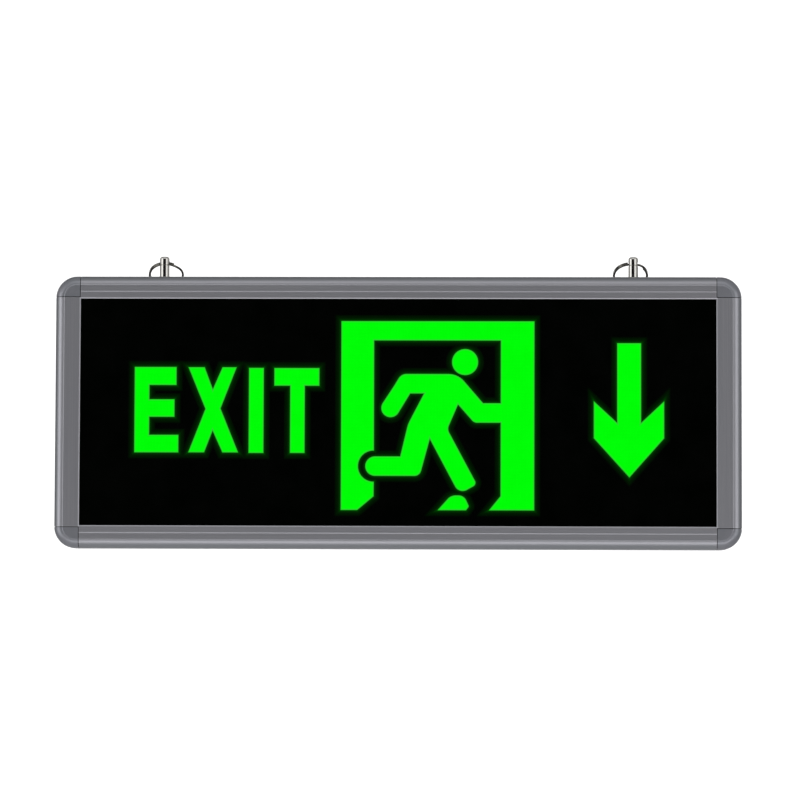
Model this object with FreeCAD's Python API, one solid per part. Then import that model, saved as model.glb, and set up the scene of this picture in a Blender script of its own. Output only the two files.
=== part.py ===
import FreeCAD, Part
import math
import os

V = FreeCAD.Vector

# An edge-lit emergency exit sign in a slim aluminium frame, hung by two split rings.
# Millimetres. +X is to the reader's right, +Z is up, and the lit face looks towards -Y.
# The origin is the middle of the bottom edge face that the sign can stand on.

# Overall size
sign_width = 350.0
sign_height = 139.0
sign_depth = 20.0
half_width = sign_width / 2
half_depth = sign_depth / 2

# How far a cut runs past the face that it breaks through
past = 1.0

# Section shared by the four aluminium lengths: u runs inwards from the outer edge, v along Y
side_band = 13.0
rail_band = 11.6
shoulder_radius = 4.35
edge_flat = half_depth - shoulder_radius
skin = 1.3
skin_inside = half_depth - skin
web_start = 6.4
web_end = 7.4
rib_end = 10.4
rib_thickness = 1.0
lip_width = 0.5
lip_depth = 0.2
line_width = 0.4
line_depth = 0.08
bead_from_lip = 3.6
bead_outer_flank = 0.3
bead_inner_flank = 0.2
bead_height = 0.1

# Moulded corner caps
corner_radius = 11.0
cap_width = side_band
shadow_gap = 0.35
shadow_inset = 0.45
key_length = 22.0
key_clearance = 0.1
key_pocket_depth = 3.6
key_pocket_half_width = 6.5
key_pockets = ((2.0, 6.0), (13.0, 7.0))
corner_screw_from_cap = 10.5
corner_screw_length = 6.1
corner_screw_radius = 1.2
countersink_radius = 2.7
screw_head_sunk = 0.1
cross_slot_length = 3.2
cross_slot_width = 0.6
cross_slot_depth = 0.6

# Layers, front to back, as distances along Y
face_thickness = 2.0
filter_thickness = 0.5
guide_thickness = 3.0
reflector_thickness = 0.5
cover_thickness = 1.2
face_front = -skin_inside
filter_front = face_front + face_thickness
guide_front = filter_front + filter_thickness
reflector_front = guide_front + guide_thickness
stack_back = reflector_front + reflector_thickness
cover_front = skin_inside - cover_thickness
panel_play = 0.2

# Light strip
strip_thickness = 1.0
strip_half_length = 156.0
light_count = 26
light_pitch = 12.0
light_size = (3.0, 2.6, 0.8)

# Hanging pins and split rings
pin_from_centre = 120.0
pin_radius = 2.55
pin_height = 10.7
pin_crown = 1.2
pin_thread_radius = 2.0
pin_hole_play = 0.1
pin_thread_length = 5.6
pin_hole_radius = 1.5
pin_hole_height = 7.0
pin_line_height = 6.35
pin_line_depth = 0.25
pin_thread_chamfer = 0.3
nut_size = 8.0
nut_thickness = 3.2
nut_corner_chamfer = 0.6
ring_radius = 8.5
ring_wire_width = 1.1
ring_wire_thickness = 0.85
ring_turn_gap = 0.1
ring_wire_chamfer = 0.2
ring_turn_angle = 300.0
crossing_steps = 6
ring_drop = 8.07
ring_lean = 51.4
left_ring_shift = 0.3
right_ring_shift = -1.2
left_ring_turned = 60.0
right_ring_turned = 100.0

# Test button and indicator lamps, in the right-hand side
button_height = 52.0
button_radius = 2.8
button_hole_radius = 3.0
button_flange_radius = 4.0
button_recess = 0.3
button_edge = 0.4
button_play = 0.05
button_flange_thickness = 0.6
button_stem_radius = 1.2
button_stem_end = 2.2
lamp_radius = 1.5
lamp_hole_radius = 1.6
lamp_heights = {"indicator_green": 88.0, "indicator_yellow": 78.0, "indicator_red": 68.0}
side_board_low = 44.0
side_board_high = 96.0
side_board_half_width = 7.5
side_board_thickness = 1.0
lamp_recess = 0.1
lamp_flange = (0.4, 1.0)
switch_half_size = 3.0
switch_height = 1.8
plunger_radius = 1.5
plunger_height = 0.5
lead_slot_depths = (0.5, 4.5)
lead_slot_low = button_height + 6
lead_slot_length = 8.0
lead_slot_past = 0.5

# Rear cover openings
keyhole_height = 96.0
keyhole_entry_radius = 4.0
keyhole_slot_radius = 2.25
keyhole_rise = 8.0
cable_hole_radius = 5.0
cable_hole_x = 62.0
cable_hole_z = 98.0
grommet_bore_radius = 3.5
grommet_flange_radius = 7.0
grommet_flange_thickness = 1.1
grommet_edge = 0.4

# Battery
cell_radius = 5.0
cell_count = 3
battery_left = -102.0
battery_low = 18.0
battery_length = 45.0
holder_wall = 1.2
holder_play = 0.1
holder_height = 8.0
holder_corner = 1.0
holder_notch = (4.0, 3.0)
sleeve_dip = 0.8

# Driver board
board_left = -35.0
board_low = 20.0
board_width = 92.0
board_height = 42.0
board_thickness = 1.2
insulator_thickness = 1.0
insulator_margin = 3.0
board_screw_inset = 4.0
board_screw_radius = 1.25
board_screw_head_radius = 2.4
board_screw_head_height = 1.1
board_screw_head_chamfer = 0.4
board_slot_length = 2.8
board_slot_depth = 0.7
board_nut_radius = 2.4
board_nut_thickness = 1.6
board_front = cover_front - insulator_thickness - board_thickness

# Parts on the driver board: x and z from its lower left corner, width, height, and how far they stand up
terminal_size = (72.0, 26.0, 8.0, 16.0, 7.5)
terminal_pitch = 5.0
terminal_mouth = (1.5, 3.0)
terminal_well = (1.7, 1.5)
fuse_place = (46.0, 36.0, 3.2)
fuse_length = 20.0
fuse_tube_radius = 2.4
fuse_cap_radius = 2.6
fuse_cap_length = 5.0
fuse_clip = (3.0, 3.0)
core_size = (28.0, 12.0, 14.0, 16.0, 7.8)
winding_size = (30.0, 10.0, 10.0, 20.0, 6.3)
winding_lift = 1.3
flange_size = (28.5, 13.0, 1.0, 7.4)
flange_places = (9.5, 29.5)
can_sizes = ((50.0, 14.0, 3.9, 14.0), (50.0, 25.0, 3.2, 12.0))
can_crimp = 0.4
can_crimp_place = 2.0
can_edge = 0.3
socket_size = (2.0, 18.0, 6.0, 7.5, 5.5)
socket_wall = 0.8
socket_back = 1.0
chip_size = (14.0, 18.0, 5.0, 4.0, 1.5)
chip_corner = 0.3
film_capacitor_size = (70.0, 8.0, 12.0, 6.0, 7.6)
film_capacitor_corner = 0.8


def save(shape, node):
    shape.exportStep("parts/" + node + ".step")


def outline(start, *steps):
    """Closed outline in the plane Z = 0. A step is a point, or a pair (through, end) for an arc."""
    first = V(*start, 0)
    here = first
    edges = []
    for step in steps:
        if isinstance(step[0], tuple):
            through = V(*step[0], 0)
            end = V(*step[1], 0)
            edges.append(Part.Arc(here, through, end).toShape())
        else:
            end = V(*step, 0)
            edges.append(Part.LineSegment(here, end).toShape())
        here = end
    if not here.isEqual(first, 1e-9):
        edges.append(Part.LineSegment(here, first).toShape())
    return Part.Face(Part.Wire(edges))


def block(low, high):
    size = [b - a for a, b in zip(low, high)]
    return Part.makeBox(*size, V(*low))


def disc(radius, centre, axis, length):
    return Part.makeCylinder(radius, length, V(*centre), V(*axis))


def placed(shape, x=0.0, y=0.0, z=0.0):
    copy = shape.copy()
    copy.translate(V(x, y, z))
    return copy


def left_to_right(shape):
    return shape.mirror(V(0, 0, 0), V(1, 0, 0))


def bottom_to_top(shape):
    return shape.mirror(V(0, 0, sign_height / 2), V(0, 0, 1))


def laid_along_x(shape):
    """Turns a section drawn for a side, whose u is +X and length +Z, so that u is +Z and length -X."""
    copy = shape.copy()
    copy.rotate(V(0, 0, 0), V(0, 1, 0), -90)
    return copy


# ---------- aluminium lengths ----------

def shoulder_arc(radius, sense):
    """Quarter round from the outer edge to the front or back face, about the shoulder's centre."""
    diagonal = radius * math.sqrt(0.5)
    through = (shoulder_radius - diagonal, sense * (edge_flat + diagonal))
    return through, (shoulder_radius, sense * (edge_flat + radius))


def shoulder_line(sense):
    """A fine shallow line in the front or back face, along the shoulder's inner edge."""
    return (
        (shoulder_radius, sense * half_depth),
        (shoulder_radius + line_width / 2, sense * (half_depth - line_depth)),
        (shoulder_radius + line_width, sense * half_depth),
    )


def bead(u):
    """A fine raised line on the front face, steeper on the side towards the lip."""
    return (
        (u - bead_outer_flank, -half_depth),
        (u, -half_depth - bead_height),
        (u + bead_inner_flank, -half_depth),
    )


def reverse_arc(radius, sense):
    through, _ = shoulder_arc(radius, sense)
    return through, (shoulder_radius - radius, sense * edge_flat)


def frame_section(band, beaded):
    """Hollow outer box with a web, two flanges, and ribs that make a front slot and a cover slot."""
    front = shoulder_line(-1)
    if beaded:
        front = front + bead(band - bead_from_lip)
    rib_back = stack_back + rib_thickness
    body = outline(
        (0, -edge_flat),
        (0, edge_flat),
        shoulder_arc(shoulder_radius, 1),
        *shoulder_line(1)[1:],
        (band - lip_width, half_depth),
        (band, half_depth - lip_depth),
        (band, skin_inside),
        (web_end, skin_inside),
        (web_end, cover_front),
        (rib_end, cover_front),
        (rib_end, cover_front - rib_thickness),
        (web_end, cover_front - rib_thickness),
        (web_end, rib_back),
        (rib_end, rib_back),
        (rib_end, stack_back),
        (web_end, stack_back),
        (web_end, -skin_inside),
        (band, -skin_inside),
        (band, lip_depth - half_depth),
        (band - lip_width, -half_depth),
        *front[::-1],
        reverse_arc(shoulder_radius, -1),
    )
    return body.cut(chamber_section(0.0))


def chamber_section(clearance):
    """Inside of the outer box; the corner keys use it with a clearance all round."""
    radius = shoulder_radius - skin - clearance
    near = skin + clearance
    far = web_start - clearance
    wide = skin_inside - clearance
    return outline(
        (near, -edge_flat),
        (near, edge_flat),
        shoulder_arc(radius, 1),
        (far, wide),
        (far, -wide),
        (shoulder_radius, -wide),
        reverse_arc(radius, -1),
    )


def side_length():
    """Left-hand length, standing between the two left caps, with its countersunk holes."""
    length = sign_height - 2 * corner_radius
    shape = frame_section(side_band, False).extrude(V(0, 0, length))
    shape = placed(shape, -half_width, 0, corner_radius)
    for z in corner_screw_heights():
        sink = Part.makeCone(
            countersink_radius, countersink_radius - skin, skin, V(-half_width, 0, z), V(1, 0, 0)
        )
        shape = shape.cut(sink)
    return shape


def right_length():
    """Right-hand length: the same, with the button's and lamps' holes and a slot for their leads."""
    shape = left_to_right(side_length())
    start = half_width - skin - past
    depth = skin + 2 * past
    shape = shape.cut(disc(button_hole_radius, (start, 0, button_height), (1, 0, 0), depth))
    for height in lamp_heights.values():
        shape = shape.cut(disc(lamp_hole_radius, (start, 0, height), (1, 0, 0), depth))
    front, back = lead_slot_depths
    lead_slot = block(
        (half_width - web_end - lead_slot_past, front, lead_slot_low),
        (half_width - web_start + lead_slot_past, back, lead_slot_low + lead_slot_length),
    )
    return shape.cut(lead_slot)


def rail_length():
    """Bottom length, lying between the two bottom caps."""
    length = sign_width - 2 * cap_width
    shape = laid_along_x(frame_section(rail_band, True).extrude(V(0, 0, length)))
    return placed(shape, length / 2)


def top_length():
    shape = bottom_to_top(rail_length())
    for x in (-pin_from_centre, pin_from_centre):
        start = (x, 0, sign_height - skin - past)
        hole = disc(pin_thread_radius + pin_hole_play, start, (0, 0, 1), skin + 2 * past)
        shape = shape.cut(hole)
    return shape


# ---------- moulded corner caps ----------

def corner_screw_heights():
    low = corner_radius + corner_screw_from_cap
    return low, sign_height - low


def cap_section(reach, inset):
    """Solid section of a cap out to u = reach; an inset above zero draws it slimmer, with no line."""
    wide = half_depth - inset
    radius = shoulder_radius - inset
    back = shoulder_line(1)[1:] if inset == 0 else ()
    front = shoulder_line(-1)[::-1] if inset == 0 else [(shoulder_radius, -wide)]
    return outline(
        (inset, -edge_flat),
        (inset, edge_flat),
        shoulder_arc(radius, 1),
        *back,
        (reach, wide),
        (reach, -wide),
        *front,
        reverse_arc(radius, -1),
    )


def key():
    """Tenon that fills the chamber of a length, cored from its inner face between ribs."""
    shape = chamber_section(key_clearance).extrude(V(0, 0, shadow_gap + key_length))
    far = web_start - key_clearance
    for start, length in key_pockets:
        pocket = block(
            (far - key_pocket_depth, -key_pocket_half_width, shadow_gap + start),
            (far + past, key_pocket_half_width, shadow_gap + start + length),
        )
        shape = shape.cut(pocket)
    return shape


def corner_cap():
    """Bottom left cap: the section swept round the corner, seats behind a shadow gap, two keys."""
    face = cap_section(corner_radius, 0)
    turn = placed(face, 0, 0, corner_radius)
    turn = turn.revolve(V(corner_radius, 0, corner_radius), V(0, -1, 0), 90)
    run = placed(laid_along_x(face), corner_radius)
    run = run.extrude(V(cap_width - corner_radius, 0, 0))
    cap = turn.fuse(run).removeSplitter()

    seat_z = corner_radius - shadow_gap
    seat_x = cap_width - shadow_gap
    front = -half_depth - past
    beyond = (cap_width + past, half_depth + past, corner_radius + past)
    cap = cap.cut(block((-past, front, seat_z), beyond))
    cap = cap.cut(block((seat_x, front, -past), beyond))
    side_seat = cap_section(seat_x, shadow_inset).extrude(V(0, 0, shadow_gap))
    rail_seat = laid_along_x(cap_section(seat_z, shadow_inset)).extrude(V(shadow_gap, 0, 0))
    side_key = key()
    rail_key = laid_along_x(key()).mirror(V(0, 0, 0), V(1, 0, 0))
    cap = cap.fuse(
        [
            placed(side_seat, 0, 0, seat_z),
            placed(rail_seat, seat_x),
            placed(side_key, 0, 0, seat_z),
            placed(rail_key, seat_x),
        ]
    ).removeSplitter()
    panel_corner = block(
        (web_end, -skin_inside, web_end), (cap_width + past, skin_inside, corner_radius + past)
    )
    pilot_z = corner_screw_heights()[0]
    pilot = disc(corner_screw_radius, (0, 0, pilot_z), (1, 0, 0), skin + corner_screw_length)
    return placed(cap.cut([panel_corner, pilot]), -half_width)


def corner_screws():
    """Four countersunk screws, through the sides into the keys."""
    screws = []
    top = screw_head_sunk
    long_arm = cross_slot_length / 2
    short_arm = cross_slot_width / 2
    for z in corner_screw_heights():
        axis = V(1, 0, 0)
        head = Part.makeCone(
            countersink_radius - top, countersink_radius - skin, skin - top, V(top, 0, z), axis
        )
        shank = disc(corner_screw_radius, (skin, 0, z), (1, 0, 0), corner_screw_length - skin)
        screw = head.fuse(shank)
        for wide, tall in ((long_arm, short_arm), (short_arm, long_arm)):
            slot = block((top - past, -wide, z - tall), (top + cross_slot_depth, wide, z + tall))
            screw = screw.cut(slot)
        screw = placed(screw, -half_width)
        screws += [screw, left_to_right(screw)]
    return Part.makeCompound(screws)


# ---------- lit face and rear cover ----------

def sheet(front, thickness, margin, top):
    """A flat sheet that stands in the frame's slots."""
    reach = half_width - margin
    return block((-reach, front, margin), (reach, front + thickness, top))


def keyhole(x):
    """Wall-screw keyhole: a round entry for the head and a narrow slot rising from it."""
    depth = cover_thickness + 2 * past
    start = cover_front - past
    entry = disc(keyhole_entry_radius, (x, start, keyhole_height), (0, 1, 0), depth)
    top = keyhole_height + keyhole_rise
    neck = block(
        (x - keyhole_slot_radius, start, keyhole_height),
        (x + keyhole_slot_radius, start + depth, top),
    )
    end = disc(keyhole_slot_radius, (x, start, top), (0, 1, 0), depth)
    return entry.fuse([neck, end])


def rear_cover():
    margin = web_end + panel_play
    shape = sheet(cover_front, cover_thickness, margin, sign_height - margin)
    for x in (-pin_from_centre, pin_from_centre):
        shape = shape.cut(keyhole(x))
    start = cover_front - past
    depth = cover_thickness + 2 * past
    shape = shape.cut(disc(cable_hole_radius, (cable_hole_x, start, cable_hole_z), (0, 1, 0), depth))
    for x, z in board_screw_places():
        shape = shape.cut(disc(board_screw_radius, (x, start, z), (0, 1, 0), depth))
    return shape


def cable_grommet():
    """Rubber ring grooved over the cover's edge, turned about its own axis."""
    rim = grommet_flange_radius
    flange = grommet_flange_thickness
    edge = grommet_edge
    section = outline(
        (grommet_bore_radius, -flange),
        (rim - edge, -flange),
        (rim, edge - flange),
        (rim, 0),
        (cable_hole_radius, 0),
        (cable_hole_radius, cover_thickness),
        (rim, cover_thickness),
        (rim, cover_thickness + flange - edge),
        (rim - edge, cover_thickness + flange),
        (grommet_bore_radius, cover_thickness + flange),
    )
    ring = section.revolve(V(0, 0, 0), V(0, 1, 0), 360)
    return placed(ring, cable_hole_x, cover_front, cable_hole_z)


# ---------- light strip ----------

def light_strip():
    top = sign_height - web_end
    return block(
        (-strip_half_length, filter_front, top - strip_thickness),
        (strip_half_length, stack_back, top),
    )


def strip_lights():
    width, depth, height = light_size
    top = sign_height - web_end - strip_thickness
    middle = (filter_front + stack_back) / 2
    lights = []
    for index in range(light_count):
        x = (index - (light_count - 1) / 2) * light_pitch
        lights.append(
            block(
                (x - width / 2, middle - depth / 2, top - height),
                (x + width / 2, middle + depth / 2, top),
            )
        )
    return Part.makeCompound(lights)


# ---------- hanging pins and split rings ----------

def hanging_pin():
    """Turned pin: thread below its shoulder, a crowned head, a scribed line and a cross hole."""
    body = pin_height - pin_crown
    bow = pin_crown * (1 - math.sqrt(0.5))
    line = pin_line_depth
    chamfer = pin_thread_chamfer
    section = outline(
        (0, -pin_thread_length),
        (pin_thread_radius - chamfer, -pin_thread_length),
        (pin_thread_radius, chamfer - pin_thread_length),
        (pin_thread_radius, 0),
        (pin_radius, 0),
        (pin_radius, pin_line_height - line),
        (pin_radius - line, pin_line_height),
        (pin_radius, pin_line_height + line),
        (pin_radius, body),
        ((pin_radius - bow, pin_height - bow), (pin_radius - pin_crown, pin_height)),
        (0, pin_height),
    )
    pin = section.revolve(V(0, 0, 0), V(0, 1, 0), 360)
    pin.rotate(V(0, 0, 0), V(1, 0, 0), 90)
    side = pin_radius + past
    eye = disc(pin_hole_radius, (-side, 0, pin_hole_height), (1, 0, 0), 2 * side)
    return placed(pin.cut(eye), 0, 0, sign_height)


def pin_nut():
    """Square nut that slides along the chamber and takes the pin's thread."""
    half = nut_size / 2
    top = sign_height - skin
    nut = block((-half, -half, top - nut_thickness), (half, half, top))
    upright = [edge for edge in nut.Edges if abs(edge.tangentAt(0).z) > 0.9]
    nut = nut.makeChamfer(nut_corner_chamfer, upright)
    return nut.cut(disc(pin_thread_radius, (0, 0, top - nut_thickness), (0, 0, 1), nut_thickness))


def wire_section(turned, height):
    """Flat wire with chamfered edges, cut square at an angle round the ring."""
    half = ring_wire_width / 2
    thick = ring_wire_thickness / 2
    soft = ring_wire_chamfer
    points = []
    for across, up in ((-1, -1), (1, -1), (1, 1), (-1, 1)):
        flat = V(ring_radius + across * (half - soft), 0, height + up * thick)
        edge = V(ring_radius + across * half, 0, height + up * (thick - soft))
        points += [edge, flat] if across * up > 0 else [flat, edge]
    section = Part.makePolygon(points + points[:1])
    section.rotate(V(0, 0, 0), V(0, 0, 1), turned)
    return section


def split_ring():
    """Two flat turns joined by an eased crossing; centred on the origin with its axis along Z."""
    rise = ring_wire_thickness + ring_turn_gap
    axis = V(0, 0, 1)
    lower = Part.Face(wire_section(0, -rise / 2)).revolve(V(0, 0, 0), axis, ring_turn_angle)
    upper = Part.Face(wire_section(0, rise / 2)).revolve(V(0, 0, 0), axis, ring_turn_angle)
    sections = []
    for step in range(crossing_steps + 1):
        part = step / crossing_steps
        turned = ring_turn_angle + part * (360 - ring_turn_angle)
        sections.append(wire_section(turned, -math.cos(math.pi * part) * rise / 2))
    crossing = Part.makeLoft(sections, True, False)
    return lower.fuse([crossing, upper])


def hung_ring(x, shift, turned):
    """A split ring through a pin's hole, slid a little along it and leaning on the rear shoulder."""
    ring = split_ring()
    ring.rotate(V(0, 0, 0), V(0, 0, 1), turned)
    ring.translate(V(shift, -ring_drop, 0))
    ring.rotate(V(0, 0, 0), V(1, 0, 0), 90 + ring_lean)
    return placed(ring, x, 0, sign_height + pin_hole_height)


# ---------- test button, indicator lamps and their board ----------

def test_button():
    """Push cap with a flange behind the skin and a stem that presses the switch."""
    flange = skin + button_play
    stem = flange + button_flange_thickness
    section = outline(
        (0, button_recess),
        (button_radius - button_edge, button_recess),
        (button_radius, button_recess + button_edge),
        (button_radius, flange),
        (button_flange_radius, flange),
        (button_flange_radius, stem),
        (button_stem_radius, stem),
        (button_stem_radius, button_stem_end),
        (0, button_stem_end),
    )
    return turned_from_right(section, button_height)


def turned_from_right(section, z):
    """Revolves a section whose x is a radius and whose y is the depth in from the right-hand edge."""
    shape = section.revolve(V(0, 0, 0), V(0, 1, 0), 360)
    shape.rotate(V(0, 0, 0), V(0, 0, 1), 90)
    return placed(shape, half_width, 0, z)


def indicator_lamp(z):
    """Round 3 mm lamp with a domed tip and a flange, standing on the side board."""
    board = web_start - side_board_thickness
    dome = lamp_radius * (1 - math.sqrt(0.5))
    rim, thickness = lamp_flange
    section = outline(
        (0, lamp_recess),
        ((lamp_radius - dome, lamp_recess + dome), (lamp_radius, lamp_recess + lamp_radius)),
        (lamp_radius, board - thickness),
        (lamp_radius + rim, board - thickness),
        (lamp_radius + rim, board),
        (0, board),
    )
    return turned_from_right(section, z)


def side_board():
    back = half_width - web_start
    return block(
        (back, -side_board_half_width, side_board_low),
        (back + side_board_thickness, side_board_half_width, side_board_high),
    )


def test_switch():
    """Tact switch: square body with a round plunger."""
    board = half_width - web_start + side_board_thickness
    top = board + switch_height
    half = switch_half_size
    body = block((board, -half, button_height - half), (top, half, button_height + half))
    return body.fuse(disc(plunger_radius, (top, 0, button_height), (1, 0, 0), plunger_height))


# ---------- battery ----------

def battery_pack():
    """Cells side by side in one shrink sleeve, which dips a little between them."""
    pitch = 2 * cell_radius
    cells = [
        disc(cell_radius, (0, 0, cell_radius + index * pitch), (1, 0, 0), battery_length)
        for index in range(cell_count)
    ]
    flank = cell_radius - sleeve_dip
    sleeve = block(
        (0, -flank, cell_radius),
        (battery_length, flank, cell_radius + (cell_count - 1) * pitch),
    )
    pack = cells[0].fuse(cells[1:] + [sleeve]).removeSplitter()
    return placed(pack, battery_left, cover_front - cell_radius, battery_low)


def battery_holder():
    """Moulded surround stuck to the cover, with a notch for the leads."""
    inner_low = (battery_left - holder_play, battery_low - holder_play)
    inner_high = (
        battery_left + battery_length + holder_play,
        battery_low + 2 * cell_radius * cell_count + holder_play,
    )
    front = cover_front - holder_height
    outer = block(
        (inner_low[0] - holder_wall, front, inner_low[1] - holder_wall),
        (inner_high[0] + holder_wall, cover_front, inner_high[1] + holder_wall),
    )
    upright = [edge for edge in outer.Edges if abs(edge.tangentAt(0).y) > 0.9]
    outer = outer.makeFillet(holder_corner, upright)
    inner = block(
        (inner_low[0], front - past, inner_low[1]), (inner_high[0], cover_front + past, inner_high[1])
    )
    notch_z = battery_low + cell_radius
    half, depth = holder_notch[0] / 2, holder_notch[1]
    notch = block(
        (inner_high[0] - past, front - past, notch_z - half),
        (inner_high[0] + 2 * holder_wall, front + depth, notch_z + half),
    )
    return outer.cut([inner, notch])


# ---------- driver board ----------

def board_screw_places():
    inset = board_screw_inset
    right = board_left + board_width
    top = board_low + board_height
    return [
        (x, z)
        for x in (board_left + inset, right - inset)
        for z in (board_low + inset, top - inset)
    ]


def drilled(shape, front, thickness):
    for x, z in board_screw_places():
        hole = disc(board_screw_radius, (x, front - past, z), (0, 1, 0), thickness + 2 * past)
        shape = shape.cut(hole)
    return shape


def driver_board():
    shape = block(
        (board_left, board_front, board_low),
        (board_left + board_width, board_front + board_thickness, board_low + board_height),
    )
    return drilled(shape, board_front, board_thickness)


def insulator():
    front = board_front + board_thickness
    margin = insulator_margin
    shape = block(
        (board_left - margin, front, board_low - margin),
        (board_left + board_width + margin, cover_front, board_low + board_height + margin),
    )
    return drilled(shape, front, insulator_thickness)


def board_screws():
    """Pan-head screws from behind the cover."""
    screws = []
    length = cover_thickness + insulator_thickness + board_thickness + board_nut_thickness
    top = skin_inside + board_screw_head_height
    long_arm = board_slot_length / 2
    short_arm = cross_slot_width / 2
    for x, z in board_screw_places():
        head = disc(
            board_screw_head_radius, (x, skin_inside, z), (0, 1, 0), board_screw_head_height
        )
        rim = [edge for edge in head.Edges if edge.Closed and edge.BoundBox.YMin > skin_inside]
        head = head.makeChamfer(board_screw_head_chamfer, rim)
        shank = disc(board_screw_radius, (x, skin_inside - length, z), (0, 1, 0), length)
        screw = head.fuse(shank)
        for wide, tall in ((long_arm, short_arm), (short_arm, long_arm)):
            low = (x - wide, top - board_slot_depth, z - tall)
            screw = screw.cut(block(low, (x + wide, top + past, z + tall)))
        screws.append(screw)
    return Part.makeCompound(screws)


def board_nuts():
    nuts = []
    for x, z in board_screw_places():
        corners = [
            V(
                x + board_nut_radius * math.cos(math.radians(60 * turn)),
                board_front - board_nut_thickness,
                z + board_nut_radius * math.sin(math.radians(60 * turn)),
            )
            for turn in range(6)
        ]
        hexagon = Part.Face(Part.makePolygon(corners + corners[:1]))
        nut = hexagon.extrude(V(0, board_nut_thickness, 0))
        start = (x, board_front - board_nut_thickness - past, z)
        bore = disc(board_screw_radius, start, (0, 1, 0), board_nut_thickness + 2 * past)
        nuts.append(nut.cut(bore))
    return Part.makeCompound(nuts)


def on_board(x, z, width, height, tall):
    """A block standing on the driver board, placed from the board's lower left corner."""
    low = (board_left + x, board_front - tall, board_low + z)
    high = (board_left + x + width, board_front, board_low + z + height)
    return block(low, high)


def softened(shape, radius):
    """Rounds the edges that stand up from the board."""
    standing = [edge for edge in shape.Edges if abs(edge.tangentAt(0).y) > 0.9]
    return shape.makeFillet(radius, standing)


def mains_terminal():
    """Three-way screw terminal, with wire mouths at its side and screw wells in front."""
    body = on_board(*terminal_size)
    left, low, width, height, tall = terminal_size
    mouth_radius, mouth_depth = terminal_mouth
    well_radius, well_depth = terminal_well
    right = board_left + left + width
    middle = board_low + low + height / 2
    for way in (-1, 0, 1):
        z = middle + way * terminal_pitch
        mouth_start = (right - mouth_depth, board_front - tall / 2, z)
        mouth = disc(mouth_radius, mouth_start, (1, 0, 0), mouth_depth + past)
        well_start = (right - width / 2, board_front - tall - past, z)
        well = disc(well_radius, well_start, (0, 1, 0), well_depth + past)
        body = body.cut([mouth, well])
    return body


def fuse():
    """Glass tube with metal end caps, lying in its clips."""
    x = board_left + fuse_place[0]
    z = board_low + fuse_place[1]
    y = board_front - fuse_place[2]
    clip_width, clip_height = fuse_clip
    pieces = []
    for cap_start, clip_start in (
        (0, (fuse_cap_length - clip_width) / 2),
        (fuse_length - fuse_cap_length, fuse_length - (fuse_cap_length + clip_width) / 2),
    ):
        pieces.append(disc(fuse_cap_radius, (x + cap_start, y, z), (1, 0, 0), fuse_cap_length))
        low = (x + clip_start, y, z - clip_height / 2)
        high = (x + clip_start + clip_width, board_front, z + clip_height / 2)
        pieces.append(block(low, high))
    tube = disc(fuse_tube_radius, (x, y, z), (1, 0, 0), fuse_length)
    return tube.fuse(pieces).removeSplitter()


def winding():
    """The coil's block, clear of the board; it fills the core's window."""
    x, z, width, height, top = winding_size
    low = (board_left + x, board_front - top, board_low + z)
    high = (board_left + x + width, board_front - winding_lift, board_low + z + height)
    return block(low, high)


def transformer_core():
    """Ferrite frame round the coil."""
    return on_board(*core_size).cut(winding())


def transformer_coil():
    """Winding on its former, through the ferrite frame's window."""
    x, width, thickness, tall = flange_size
    flanges = [on_board(x, z, width, thickness, tall) for z in flange_places]
    return winding().fuse(flanges).removeSplitter()


def storage_capacitors():
    """Two electrolytic cans lying on the board, each with its rolled crimp."""
    cans = []
    crimp = can_crimp
    for x, z, radius, length in can_sizes:
        section = outline(
            (0, 0),
            (radius - crimp, 0),
            (radius, crimp),
            (radius, can_crimp_place - crimp),
            (radius - crimp, can_crimp_place),
            (radius, can_crimp_place + crimp),
            (radius, length - can_edge),
            (radius - can_edge, length),
            (0, length),
        )
        can = section.revolve(V(0, 0, 0), V(0, 1, 0), 360)
        can.rotate(V(0, 0, 0), V(0, 0, 1), -90)
        cans.append(placed(can, board_left + x, board_front - radius, board_low + z))
    return Part.makeCompound(cans)


def battery_socket():
    """Two-way plug shroud, open towards the battery."""
    left, low, width, height, tall = socket_size
    mouth = block(
        (board_left + left - past, board_front - tall + socket_wall, board_low + low + socket_wall),
        (
            board_left + left + width - socket_back,
            board_front - socket_wall,
            board_low + low + height - socket_wall,
        ),
    )
    return on_board(*socket_size).cut(mouth)


def controller_chip():
    return softened(on_board(*chip_size), chip_corner)


def mains_capacitor():
    return softened(on_board(*film_capacitor_size), film_capacitor_corner)


os.makedirs("parts", exist_ok=True)

cap = corner_cap()
save(side_length(), "frame_left")
save(right_length(), "frame_right")
save(rail_length(), "frame_bottom")
save(top_length(), "frame_top")
save(cap, "corner_cap_bottom_left")
save(left_to_right(cap), "corner_cap_bottom_right")
save(bottom_to_top(cap), "corner_cap_top_left")
save(bottom_to_top(left_to_right(cap)), "corner_cap_top_right")
save(corner_screws(), "corner_screws")

edge = web_end + panel_play
lights_top = sign_height - web_end - strip_thickness - light_size[2] - panel_play
save(sheet(face_front, face_thickness, edge, sign_height - edge), "face_panel")
save(sheet(filter_front, filter_thickness, edge, lights_top), "green_filter")
save(sheet(guide_front, guide_thickness, edge, lights_top), "light_guide")
save(sheet(reflector_front, reflector_thickness, edge, lights_top), "reflector_sheet")
save(rear_cover(), "rear_cover")
save(cable_grommet(), "cable_grommet")
save(light_strip(), "light_strip")
save(strip_lights(), "strip_lights")

pin = hanging_pin()
nut = pin_nut()
save(placed(pin, -pin_from_centre), "hanging_pin_left")
save(placed(pin, pin_from_centre), "hanging_pin_right")
save(Part.makeCompound([placed(nut, x) for x in (-pin_from_centre, pin_from_centre)]), "pin_nuts")
save(hung_ring(-pin_from_centre, left_ring_shift, left_ring_turned), "split_ring_left")
save(hung_ring(pin_from_centre, right_ring_shift, right_ring_turned), "split_ring_right")

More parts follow.
